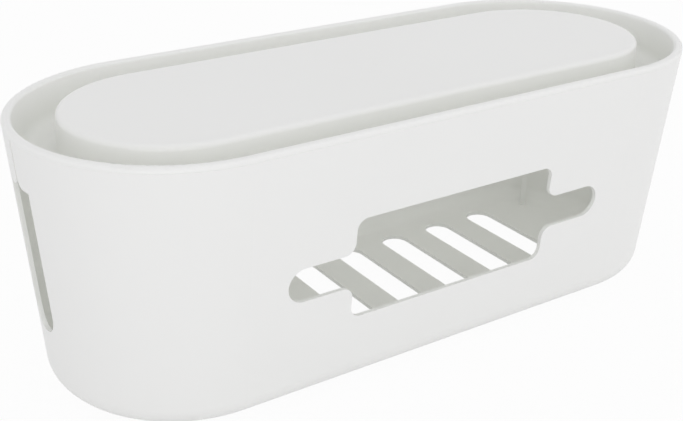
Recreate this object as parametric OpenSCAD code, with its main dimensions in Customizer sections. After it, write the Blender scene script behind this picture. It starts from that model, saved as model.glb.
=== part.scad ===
// Cable management box: an open-topped tub with a stepped opening in its front
// wall, a cable outlet in each end, a slotted floor and a lift-off lid. The lid
// rests on the tub's edge all round, and its skirt and channel hang inside.
// Millimetres. The origin is on the surface that the box stands on, under its
// middle. X runs along the length, the front wall faces -Y, and Z is up.

/* [Box] */
// Length over the rim
box_length = 400; // [370:5:480]
// Width over the rim
box_width = 162; // [150:2:190]
// Height from the underside to the top of the lid
box_height = 140; // [130:1:170]
// Lean of the walls, in degrees from upright
wall_draft = 4.8; // [2:0.1:6]

/* [Tub] */
// Thickness of the walls
wall_thickness = 2.2; // [1.8:0.1:3]
// Thickness of the floor
floor_thickness = 2.2; // [1.8:0.1:3]
// Outside radius between the walls and the underside
base_radius = 12; // [8:0.5:14]
// Rounding of the top edge's inner side
tub_edge_rounding = 0.6; // [0.3:0.1:1]
// Rounding on both sides of the seam between the tub and the lid
seam_rounding = 0.15; // [0.1:0.05:0.3]

/* [Front opening] */
// Width of the tall middle part
window_width = 124; // [100:2:140]
// Height of the tall middle part
window_height = 55.4; // [44:0.2:64]
// Height of the opening's centre line above the underside
window_centre_height = 67; // [60:0.5:72]
// Radius of the middle part's outer corners
window_corner_radius = 6; // [3:0.5:9]
// Width over the two side fingers
finger_span = 198; // [180:2:210]
// Height of a side finger
finger_height = 18.5; // [12:0.5:22]
// Radius where a finger meets the middle part
finger_root_radius = 6; // [3:0.5:8]

/* [Cable outlets] */
// Width of an outlet
outlet_width = 22.6; // [16:0.2:28]
// Height of an outlet's lowest point above the underside
outlet_bottom = 36.4; // [28:0.2:46]
// How far the outlet's top edge lies under the lid's channel
outlet_top_step = 0.5; // [0.2:0.1:8]
// Width of the slit that leads a cable in from the tub's top edge
slit_width = 1.4; // [1:0.1:3]
// Radius where the slit opens into the outlet
slit_mouth_radius = 4.5; // [2:0.5:6]

/* [Floor slots] */
// Number of slots
vent_count = 8; // [4:1:8]
// Distance from one slot to the next
vent_pitch = 34.8; // [26:0.2:36]
// Width of a slot
vent_width = 17.2; // [10:0.2:20]
// Distance from a slot's end to the rounded edge of the floor
vent_margin = 8.4; // [4:0.2:16]

/* [Wall ribs] */
// Thickness of a rib
rib_thickness = 3; // [2:0.1:4]
// How far a rib's foot stands in from the inner wall
rib_depth = 10; // [6:0.5:12]
// Gap between a rib's top and the lid's channel
rib_headroom = 0.5; // [0.3:0.1:4]
// Turn of each rib from the box's length, seen from the end's centre
rib_turn = 45.5; // [35:0.5:60]

/* [Lid] */
// Wall thickness of the lid
lid_thickness = 2.2; // [1.6:0.1:3]
// Thickness of the lip that rests on the tub's edge
lip_thickness = 2.8; // [2.6:0.1:5]
// Rounding of the lip's outer edge
lip_outer_rounding = 2; // [0.5:0.1:2.2]
// Rounding between the lip and the channel
lip_inner_rounding = 1.8; // [0.5:0.1:2]
// Level gap between the skirt and the tub's inner wall
lid_clearance = 0.4; // [0.3:0.05:0.8]
// Depth of the channel below the top
channel_depth = 23; // [18:0.5:30]
// Width of the channel at the top
channel_width = 20.4; // [19:0.2:26]
// Radius where the channel's floor meets its sides
channel_root_radius = 7.5; // [3:0.5:7.5]
// Lean of the raised panel's sides, in degrees from upright
panel_draft = 2; // [1:0.5:5]
// Rounding of the raised panel's upper edge
panel_edge_rounding = 2.8; // [1:0.1:4]
// Rounding inside the raised panel, between its top and its sides
panel_inner_rounding = 1; // [0.5:0.1:2]
// Diameter of the moulding gate mark on top
gate_diameter = 3.6; // [2:0.2:6]
// Depth of the gate mark
gate_depth = 0.3; // [0.1:0.05:0.5]

/* [Feet] */
// Diameter of a foot pad
foot_diameter = 12; // [8:0.5:14]
// How far a foot pad lifts the underside
foot_lift = 1.5; // [1:0.1:3]
// Depth of the recess that holds a foot pad
foot_recess = 0.6; // [0.3:0.1:0.8]
// Gap round a foot pad in its recess
foot_clearance = 0.25; // [0.1:0.05:0.5]
// Distance from a foot pad's recess to the rounded edge of the floor
foot_margin = 8; // [5:0.5:12]
// Turn of each foot pad from the box's length, seen from the end's centre
foot_turn = 48; // [35:1:60]

/* [Hidden] */

plastic_colour = [0.9, 0.9, 0.89];
rubber_colour = [0.25, 0.25, 0.26];

// Facets of the end arcs and of the small circles, for the preview
end_facets = 96;
edge_facets = 64;

// Reach of a cutter past the surface that it cuts
overcut = 5;

// A rounding stands this far past the faces that it joins, so that it meets
// them at a clean crossing and not at a mere touch
rounding_reach = 0.002;

// The lip stands this far above the tub's edge, clear of both edges' roundings
seat_gap = 0.02;

// Plan: both ends are half circles about these centres
end_centre = (box_length - box_width) / 2;

// The wall's face and the top would meet this far from an end's centre, a
// little outside the rounded lip
rim_radius = box_width / 2 + lip_outer_rounding * (tan(wall_draft) + 1 / cos(wall_draft) - 1);

// Heights above the underside
seam_height = box_height - lip_thickness;
lip_underside_height = seam_height + seat_gap;
channel_floor_height = box_height - channel_depth;
lid_underside_height = channel_floor_height - lid_thickness;
hollow_top_height = box_height - lid_thickness;
outlet_top = lid_underside_height - outlet_top_step;
rib_top = lid_underside_height - rib_headroom;

// Level thickness of a wall that leans
level_wall = wall_thickness / cos(wall_draft);
level_skirt = lid_thickness / cos(wall_draft);
level_panel_wall = lid_thickness / cos(panel_draft);

// Distance from an end's centre to where the flat underside starts to curve
base_edge_radius = wall_radius(0, 0) - base_radius * tan(45 - wall_draft / 2);

// Distance from an end's centre to the middle of a foot pad
foot_ring_radius = base_edge_radius - foot_margin - foot_clearance - foot_diameter / 2;

// Distance from an end's centre to the box's wall at a height. A depth of 0 is
// the outer face, and a depth of 1 the tub's inner face.
function wall_radius(height, depth) =
    rim_radius - (box_height - height) * tan(wall_draft) - depth * level_wall;

// The same for the lid's skirt inside the tub. A depth of 1 faces the channel.
function skirt_radius(height, depth) =
    wall_radius(height, 1) - lid_clearance - depth * level_skirt;

// The same for the sides of the raised panel. A depth of 0 faces the channel.
function panel_radius(height, depth) =
    skirt_radius(box_height, 1) - channel_width
    + (box_height - height) * tan(panel_draft) - depth * level_panel_wall;

// Direction from one point to another, with length 1
function toward(from, to) = (to - from) / norm(to - from);

// Rounding of a corner: its start, end and centre, its radius, and whether the
// outline turns left there
function rounding(before, corner, after, radius) =
    let (
        back = toward(corner, before),
        on = toward(corner, after),
        half_angle = acos(back * on) / 2,
        reach = radius / tan(half_angle),
        centre = corner + (back + on) / norm(back + on) * radius / sin(half_angle)
    )
    [corner + back * reach, corner + on * reach, centre, radius, cross(back, on) < 0];

// Part of a circle that fills a rounding. The circle crosses both faces a little
// past the rounding's ends, and the part ends twice as far out.
module rounding_slice(bend) {
    centre = bend[2];
    radius = bend[3];
    reach = radius + rounding_reach;
    along = toward(bend[0], bend[1]) * 2 * radius;
    out = toward(centre, (bend[0] + bend[1]) / 2);
    half_turn = asin(norm(bend[1] - bend[0]) / (2 * radius)) + 2 * acos(radius / reach);
    start = centre + out * reach * cos(half_turn);
    beyond = start + out * 2 * radius;
    intersection() {
        translate(centre) circle(reach, $fn = edge_facets);
        polygon([start - along, start + along, beyond + along, beyond - along]);
    }
}

// Outline with rounded corners, listed anticlockwise as [x, y, radius]
module rounded_polygon(corners) {
    last = len(corners) - 1;
    spots = [for (corner = corners) [corner[0], corner[1]]];
    bends = [
        for (i = [0 : last])
            rounding(spots[i > 0 ? i - 1 : last], spots[i], spots[i < last ? i + 1 : 0], corners[i][2])
    ];
    outline = [for (bend = bends) each bend[3] > 0 ? [bend[0], bend[1]] : [bend[0]]];
    difference() {
        union() {
            polygon(outline);
            for (bend = bends)
                if (bend[3] > 0 && bend[4]) rounding_slice(bend);
        }
        for (bend = bends)
            if (bend[3] > 0 && !bend[4]) rounding_slice(bend);
    }
}

// Sweeps a section round the plan. In the section, the first coordinate is the
// distance from the centre line and the second is the height.
module sweep_round_plan() {
    for (side = [-1, 1])
        translate([side * end_centre, 0, 0])
            rotate([0, 0, -90 * side])
                rotate_extrude(angle = 180, $fn = end_facets) children();
    rotate([90, 0, 90])
        linear_extrude(height = 2 * end_centre, center = true) {
            children();
            mirror([1, 0]) children();
        }
}

// Places a part at one quarter of the plan, at a turn about that end's centre
module at_quarter(end, side, turn) {
    translate([end * end_centre, 0, 0])
        rotate([0, 0, end > 0 ? side * turn : 180 - side * turn]) children();
}

// Section of the tub's floor and wall
module tub_section() {
    rounded_polygon([
        [0, 0, 0],
        [wall_radius(0, 0), 0, base_radius],
        [wall_radius(seam_height, 0), seam_height, seam_rounding],
        [wall_radius(seam_height, 1), seam_height, tub_edge_rounding],
        [wall_radius(floor_thickness, 1), floor_thickness, base_radius - wall_thickness],
        [0, floor_thickness, 0]
    ]);
}

// Round end of a straight slot
module slot_end(place, radius) {
    translate(place) circle(radius + rounding_reach, $fn = edge_facets);
}

// Outline of the front opening: a rounded window with a finger at each side
module front_opening_outline() {
    side_x = window_width / 2;
    window_y = window_height / 2;
    finger_y = finger_height / 2;
    tip_x = finger_span / 2 - finger_y;
    rounded_polygon([
        [-side_x, -window_y, window_corner_radius],
        [side_x, -window_y, window_corner_radius],
        [side_x, -finger_y, finger_root_radius],
        [tip_x, -finger_y, 0],
        [tip_x, finger_y, 0],
        [side_x, finger_y, finger_root_radius],
        [side_x, window_y, window_corner_radius],
        [-side_x, window_y, window_corner_radius],
        [-side_x, finger_y, finger_root_radius],
        [-tip_x, finger_y, 0],
        [-tip_x, -finger_y, 0],
        [-side_x, -finger_y, finger_root_radius]
    ]);
    for (side = [-1, 1]) slot_end([side * tip_x, 0], finger_y);
}

// Outline of a cable outlet: round below, flat above, with a slit to the tub's edge
module outlet_outline() {
    side_y = outlet_width / 2;
    slit_y = slit_width / 2;
    low = outlet_bottom + side_y;
    top = seam_height + overcut;
    slot_end([0, low], side_y);
    rounded_polygon([
        [-side_y, low, 0],
        [side_y, low, 0],
        [side_y, outlet_top, 0],
        [slit_y, outlet_top, slit_mouth_radius],
        [slit_y, top, 0],
        [-slit_y, top, 0],
        [-slit_y, outlet_top, slit_mouth_radius],
        [-side_y, outlet_top, 0]
    ]);
}

// Outline of a floor slot, round at both ends
module vent_outline() {
    tip_y = base_edge_radius - vent_margin - vent_width / 2;
    square([vent_width, 2 * tip_y], center = true);
    for (end = [-1, 1]) slot_end([0, end * tip_y], vent_width / 2);
}

module front_opening_cut() {
    translate([0, -rim_radius - overcut, window_centre_height])
        rotate([-90, 0, 0])
            linear_extrude(height = rim_radius + overcut - wall_radius(0, 1) / 2) front_opening_outline();
}

module outlet_cuts() {
    rotate([90, 0, 90])
        linear_extrude(height = box_length + 2 * overcut, center = true) outlet_outline();
}

module vent_cuts() {
    for (i = [0 : vent_count - 1])
        translate([(i - (vent_count - 1) / 2) * vent_pitch, 0, -overcut])
            linear_extrude(height = floor_thickness + 2 * overcut) vent_outline();
}

// Upright rib that stands on the floor and stiffens the wall. Its outer edge
// ends in the middle of the wall.
module wall_rib() {
    low = floor_thickness / 2;
    inner_edge = wall_radius(floor_thickness, 1) - rib_depth;
    rotate([90, 0, 0])
        linear_extrude(height = rib_thickness, center = true)
            intersection() {
                rounded_polygon([
                    [0, low, 0],
                    [wall_radius(low, 0.5), low, base_radius - wall_thickness / 2],
                    [wall_radius(rib_top, 0.5), rib_top, 0],
                    [0, rib_top, 0]
                ]);
                translate([inner_edge, 0]) square([rim_radius, box_height]);
            }
}

// Recess in the underside for a foot pad
module foot_recess_cut() {
    recess_diameter = foot_diameter + 2 * foot_clearance;
    translate([foot_ring_radius, 0, foot_recess - overcut])
        cylinder(h = overcut, d = recess_diameter, $fn = edge_facets);
}

module box_body() {
    color(plastic_colour)
        translate([0, 0, foot_lift])
            difference() {
                union() {
                    sweep_round_plan() tub_section();
                    for (end = [-1, 1])
                        for (side = [-1, 1])
                            at_quarter(end, side, rib_turn) wall_rib();
                }
                front_opening_cut();
                outlet_cuts();
                vent_cuts();
                for (end = [-1, 1])
                    for (side = [-1, 1])
                        at_quarter(end, side, foot_turn) foot_recess_cut();
            }
}

// Section of the lid: a lip on the tub's edge, a skirt, a round-bottomed channel
// and a raised panel
module lid_section() {
    inside_root = channel_root_radius + lid_thickness;
    rounded_polygon([
        [panel_radius(lid_underside_height, 1), lid_underside_height, inside_root],
        [skirt_radius(lid_underside_height, 0), lid_underside_height, inside_root],
        [skirt_radius(lip_underside_height, 0), lip_underside_height, lid_clearance / 2],
        [wall_radius(lip_underside_height, 0), lip_underside_height, seam_rounding],
        [wall_radius(box_height, 0), box_height, lip_outer_rounding],
        [skirt_radius(box_height, 1), box_height, lip_inner_rounding],
        [skirt_radius(channel_floor_height, 1), channel_floor_height, channel_root_radius],
        [panel_radius(channel_floor_height, 0), channel_floor_height, channel_root_radius],
        [panel_radius(box_height, 0), box_height, panel_edge_rounding],
        [0, box_height, 0],
        [0, hollow_top_height, 0],
        [panel_radius(hollow_top_height, 1), hollow_top_height, panel_inner_rounding]
    ]);
}

module lid() {
    // Radius of the ball whose cap is as wide and deep as the gate mark
    ball_radius = (pow(gate_diameter / 2, 2) + pow(gate_depth, 2)) / (2 * gate_depth);
    color(plastic_colour)
        translate([0, 0, foot_lift])
            difference() {
                sweep_round_plan() lid_section();
                translate([0, 0, box_height + ball_radius - gate_depth])
                    sphere(ball_radius, $fn = edge_facets);
            }
}

// One foot pad, in its recess under the floor
module foot_pad(end, side) {
    chamfer = foot_lift / 3;
    under_side = foot_diameter - 2 * chamfer;
    color(rubber_colour)
        at_quarter(end, side, foot_turn)
            translate([foot_ring_radius, 0, 0]) {
                cylinder(h = chamfer, d1 = under_side, d2 = foot_diameter, $fn = edge_facets);
                translate([0, 0, chamfer])
                    cylinder(h = foot_lift + foot_recess - chamfer, d = foot_diameter, $fn = edge_facets);
            }
}

module foot_front_left() { foot_pad(-1, -1); }
module foot_front_right() { foot_pad(1, -1); }
module foot_rear_left() { foot_pad(-1, 1); }
module foot_rear_right() { foot_pad(1, 1); }

box_body();
lid();
foot_front_left();
foot_front_right();
foot_rear_left();
foot_rear_right();
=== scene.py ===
import math

import bpy
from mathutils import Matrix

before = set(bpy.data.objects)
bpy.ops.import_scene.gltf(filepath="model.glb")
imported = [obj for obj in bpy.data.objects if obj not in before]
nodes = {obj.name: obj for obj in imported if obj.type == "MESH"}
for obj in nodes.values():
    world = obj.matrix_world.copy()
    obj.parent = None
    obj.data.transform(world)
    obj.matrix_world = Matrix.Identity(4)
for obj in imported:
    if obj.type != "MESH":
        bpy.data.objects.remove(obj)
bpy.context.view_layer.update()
print("frame loaded:", len(nodes), "nodes")


# node helpers shared by every material

def newMaterial(name):
    material = bpy.data.materials.new(name)
    material.use_nodes = True
    tree = material.node_tree
    shader = tree.nodes["Principled BSDF"]
    shader.location = (300, 0)
    return material, tree, shader


def addNode(tree, kind, place, inputs=None, **settings):
    node = tree.nodes.new(kind)
    node.location = place
    for key, value in settings.items():
        setattr(node, key, value)
    for key, value in (inputs or {}).items():
        node.inputs[key].default_value = value
    return node


def objectCoordinates(tree):
    return addNode(tree, "ShaderNodeTexCoord", (-1100, 0)).outputs["Object"]


def addNoise(tree, coordinates, scale, detail, place):
    noise = addNode(tree, "ShaderNodeTexNoise", place, {"Scale": scale, "Detail": detail})
    tree.links.new(coordinates, noise.inputs["Vector"])
    return noise.outputs["Fac"]


# noise stays mostly between 0.3 and 0.7, so that is what is spread out
def remap(tree, value, low, high, place, fromLow=0.3, fromHigh=0.7):
    node = addNode(tree, "ShaderNodeMapRange", place,
                   {"From Min": fromLow, "From Max": fromHigh, "To Min": low, "To Max": high})
    tree.links.new(value, node.inputs["Value"])
    return node.outputs["Result"]


def mixColours(tree, factor, first, second, place):
    node = addNode(tree, "ShaderNodeMix", place, data_type="RGBA")
    node.inputs["A"].default_value = (*first, 1)
    node.inputs["B"].default_value = (*second, 1)
    tree.links.new(factor, node.inputs["Factor"])
    return node.outputs["Result"]


def addBump(tree, height, distance, strength, place, under=None):
    node = addNode(tree, "ShaderNodeBump", place, {"Strength": strength, "Distance": distance})
    tree.links.new(height, node.inputs["Height"])
    if under is not None:
        tree.links.new(under, node.inputs["Normal"])
    return node.outputs["Normal"]


# white moulded plastic of the tub and the lid

plasticLook = {
    "colour": (0.950, 0.950, 0.944),
    "paleColour": (0.960, 0.960, 0.955),
    "cloudScale": 9,         # faint change of colour across the wall
    "roughness": (0.38, 0.46),
    "grainScale": 2400,      # spark-eroded grain, about 0.4 mm
    "grainDepth": 0.00001,
    "grainStrength": 0.6,
    "flowScale": 14,         # slow waves that a moulding cools with
    "flowDepth": 0.0001,
    "flowStrength": 0.5,
    "ior": 1.49,
    "tubSeep": 0.47,         # share of light that passes each face of the thin walls
    "lidSeep": 0.66,         # both were judged from how bright the inside looks
    "seepTint": (0.993, 1.0, 0.97),
}


def letLightSeep(tree, shader, share, tint):
    # thin white plastic glows a little: light that has bounced, and light on its way
    # to a surface, passes in part, while the camera still sees a solid wall
    path = addNode(tree, "ShaderNodeLightPath", (0, 500))
    strayed = addNode(tree, "ShaderNodeMath", (200, 500), operation="MAXIMUM")
    passed = addNode(tree, "ShaderNodeMath", (400, 500), {1: share}, operation="MULTIPLY")
    seep = addNode(tree, "ShaderNodeBsdfTransparent", (300, 250), {"Color": (*tint, 1)})
    mix = addNode(tree, "ShaderNodeMixShader", (650, 0))
    output = tree.nodes["Material Output"]
    output.location = (850, 0)
    tree.links.new(path.outputs["Is Diffuse Ray"], strayed.inputs[0])
    tree.links.new(path.outputs["Is Shadow Ray"], strayed.inputs[1])
    tree.links.new(strayed.outputs[0], passed.inputs[0])
    tree.links.new(passed.outputs[0], mix.inputs["Fac"])
    tree.links.new(shader.outputs[0], mix.inputs[1])
    tree.links.new(seep.outputs[0], mix.inputs[2])
    tree.links.new(mix.outputs[0], output.inputs["Surface"])


def makePlastic(name, look, seepShare):
    material, tree, shader = newMaterial(name)
    spot = objectCoordinates(tree)
    cloud = addNoise(tree, spot, look["cloudScale"], 3, (-800, 250))
    grain = addNoise(tree, spot, look["grainScale"], 2, (-800, -250))
    flow = addNoise(tree, spot, look["flowScale"], 1, (-800, -500))
    paleness = remap(tree, cloud, 0, 1, (-550, 250))
    colour = mixColours(tree, paleness, look["colour"], look["paleColour"], (-250, 250))
    tree.links.new(colour, shader.inputs["Base Color"])
    tree.links.new(remap(tree, grain, *look["roughness"], (-250, 0)), shader.inputs["Roughness"])
    waves = addBump(tree, flow, look["flowDepth"], look["flowStrength"], (-250, -500))
    normal = addBump(tree, grain, look["grainDepth"], look["grainStrength"], (0, -300), waves)
    tree.links.new(normal, shader.inputs["Normal"])
    shader.inputs["IOR"].default_value = look["ior"]
    letLightSeep(tree, shader, seepShare, look["seepTint"])
    return material


# rubber of the foot pads

rubberLook = {
    "colour": (0.045, 0.045, 0.047),
    "dustColour": (0.075, 0.074, 0.072),
    "dustScale": 260,
    "roughness": (0.72, 0.86),
    "grainScale": 3200,
    "grainDepth": 0.00002,
    "grainStrength": 0.5,
}


def makeRubber(name, look):
    material, tree, shader = newMaterial(name)
    spot = objectCoordinates(tree)
    dust = addNoise(tree, spot, look["dustScale"], 4, (-800, 250))
    grain = addNoise(tree, spot, look["grainScale"], 2, (-800, -250))
    dustiness = remap(tree, dust, 0, 1, (-550, 250))
    colour = mixColours(tree, dustiness, look["colour"], look["dustColour"], (-250, 250))
    tree.links.new(colour, shader.inputs["Base Color"])
    tree.links.new(remap(tree, grain, *look["roughness"], (-250, 0)), shader.inputs["Roughness"])
    normal = addBump(tree, grain, look["grainDepth"], look["grainStrength"], (0, -300))
    tree.links.new(normal, shader.inputs["Normal"])
    return material


def dress(node, material):
    node.data.materials.clear()
    node.data.materials.append(material)


dress(nodes["box_body"], makePlastic("tubPlastic", plasticLook, plasticLook["tubSeep"]))
dress(nodes["lid"], makePlastic("lidPlastic", plasticLook, plasticLook["lidSeep"]))
rubber = makeRubber("padRubber", rubberLook)
for name in nodes:
    if name.startswith("foot_"):
        dress(nodes[name], rubber)
print("finishes done")


# floor, seen nearly white by the camera but keeping a faint shadow

floorLook = {"size": 12.0, "colour": (0.86, 0.86, 0.86), "whiteShare": 0.95}


def straightSight(tree, place):
    # 1 where a ray comes from the camera, a reflection or through glass
    path = addNode(tree, "ShaderNodeLightPath", place)
    total = addNode(tree, "ShaderNodeMath", (place[0] + 200, place[1]), operation="ADD")
    seen = addNode(tree, "ShaderNodeMath", (place[0] + 400, place[1]), operation="ADD", use_clamp=True)
    tree.links.new(path.outputs["Is Camera Ray"], total.inputs[0])
    tree.links.new(path.outputs["Is Glossy Ray"], total.inputs[1])
    tree.links.new(total.outputs[0], seen.inputs[0])
    tree.links.new(path.outputs["Is Transmission Ray"], seen.inputs[1])
    return seen.outputs[0]


def makeFloor(look):
    bpy.ops.mesh.primitive_plane_add(size=look["size"], location=(0, 0, 0))
    floor = bpy.context.active_object
    floor.name = "studioFloor"
    material, tree, shader = newMaterial("floorPaper")
    shader.inputs["Base Color"].default_value = (*look["colour"], 1)
    shader.inputs["Roughness"].default_value = 0.9
    shader.inputs["Specular IOR Level"].default_value = 0.0
    white = addNode(tree, "ShaderNodeEmission", (300, -350), {"Strength": 1.0})
    share = addNode(tree, "ShaderNodeMath", (300, 250), operation="MULTIPLY")
    share.inputs[1].default_value = look["whiteShare"]
    tree.links.new(straightSight(tree, (-400, 250)), share.inputs[0])
    mix = addNode(tree, "ShaderNodeMixShader", (650, 0))
    tree.links.new(share.outputs[0], mix.inputs["Fac"])
    tree.links.new(shader.outputs[0], mix.inputs[1])
    tree.links.new(white.outputs[0], mix.inputs[2])
    output = tree.nodes["Material Output"]
    output.location = (850, 0)
    tree.links.new(mix.outputs[0], output.inputs["Surface"])
    floor.data.materials.append(material)


# studio light: an even pale room, a little darker overhead, and two soft lamps

roomLook = {"overhead": 0.64, "horizon": 0.86}
lamps = [
    {"name": "frontSoftbox", "place": (-0.9, -1.9, 0.7), "size": 1.6, "power": 7.5},
    {"name": "sideSoftbox", "place": (1.8, -0.6, 1.0), "size": 1.6, "power": 2.3},
]


def makeRoom(look):
    world = bpy.data.worlds.new("studioRoom")
    bpy.context.scene.world = world
    world.use_nodes = True
    tree = world.node_tree
    background = tree.nodes["Background"]
    direction = addNode(tree, "ShaderNodeTexCoord", (-900, 0)).outputs["Generated"]
    parts = addNode(tree, "ShaderNodeSeparateXYZ", (-700, 0))
    tree.links.new(direction, parts.inputs[0])
    shade = remap(tree, parts.outputs["Z"], look["horizon"], look["overhead"], (-500, 0), 0.0, 1.0)
    pick = addNode(tree, "ShaderNodeMix", (-200, 0), data_type="FLOAT")
    tree.links.new(straightSight(tree, (-900, -300)), pick.inputs["Factor"])
    tree.links.new(shade, pick.inputs["A"])
    pick.inputs["B"].default_value = 1.0
    tree.links.new(pick.outputs["Result"], background.inputs["Strength"])
    background.inputs["Color"].default_value = (1, 1, 1, 1)


def addSoftbox(lamp, target=(0, 0, 0.07)):
    light = bpy.data.lights.new(lamp["name"], "AREA")
    light.size = lamp["size"]
    light.energy = lamp["power"]
    softbox = bpy.data.objects.new(lamp["name"], light)
    bpy.context.scene.collection.objects.link(softbox)
    softbox.location = lamp["place"]
    away = [t - p for t, p in zip(target, lamp["place"])]
    tilt = math.atan2(math.hypot(away[0], away[1]), -away[2])
    turn = math.atan2(away[1], away[0]) - math.pi / 2
    softbox.rotation_euler = (tilt, 0, turn)


makeFloor(floorLook)
makeRoom(roomLook)
for lamp in lamps:
    addSoftbox(lamp)
print("studio done")


# camera, solved from the photograph's straight edges and then moved up by half a pixel

cameraSetup = {
    "azimuth": -31.43,
    "elevation": 22.51,
    "place": (-0.329735, -0.452581, 0.317290),
    "focalPixels": 1087.14,
    "axisPixel": (288.6, 160.0),  # where the view axis meets the picture, which gives the shift
    "picture": (683, 421),
    "sensor": 36,
}


def makeCamera(setup):
    width, height = setup["picture"]
    data = bpy.data.cameras.new("productCamera")
    data.sensor_fit = "HORIZONTAL"
    data.sensor_width = setup["sensor"]
    data.lens = setup["focalPixels"] / width * setup["sensor"]
    data.shift_x = (width / 2 - setup["axisPixel"][0]) / width
    data.shift_y = (setup["axisPixel"][1] - height / 2) / width
    data.clip_start = 0.01
    camera = bpy.data.objects.new("productCamera", data)
    camera.location = setup["place"]
    tilt = math.radians(90 - setup["elevation"])
    camera.rotation_euler = (tilt, 0, math.radians(setup["azimuth"]))
    bpy.context.scene.collection.objects.link(camera)
    bpy.context.scene.camera = camera


makeCamera(cameraSetup)
bpy.context.scene.view_settings.view_transform = "Standard"
print("camera done")
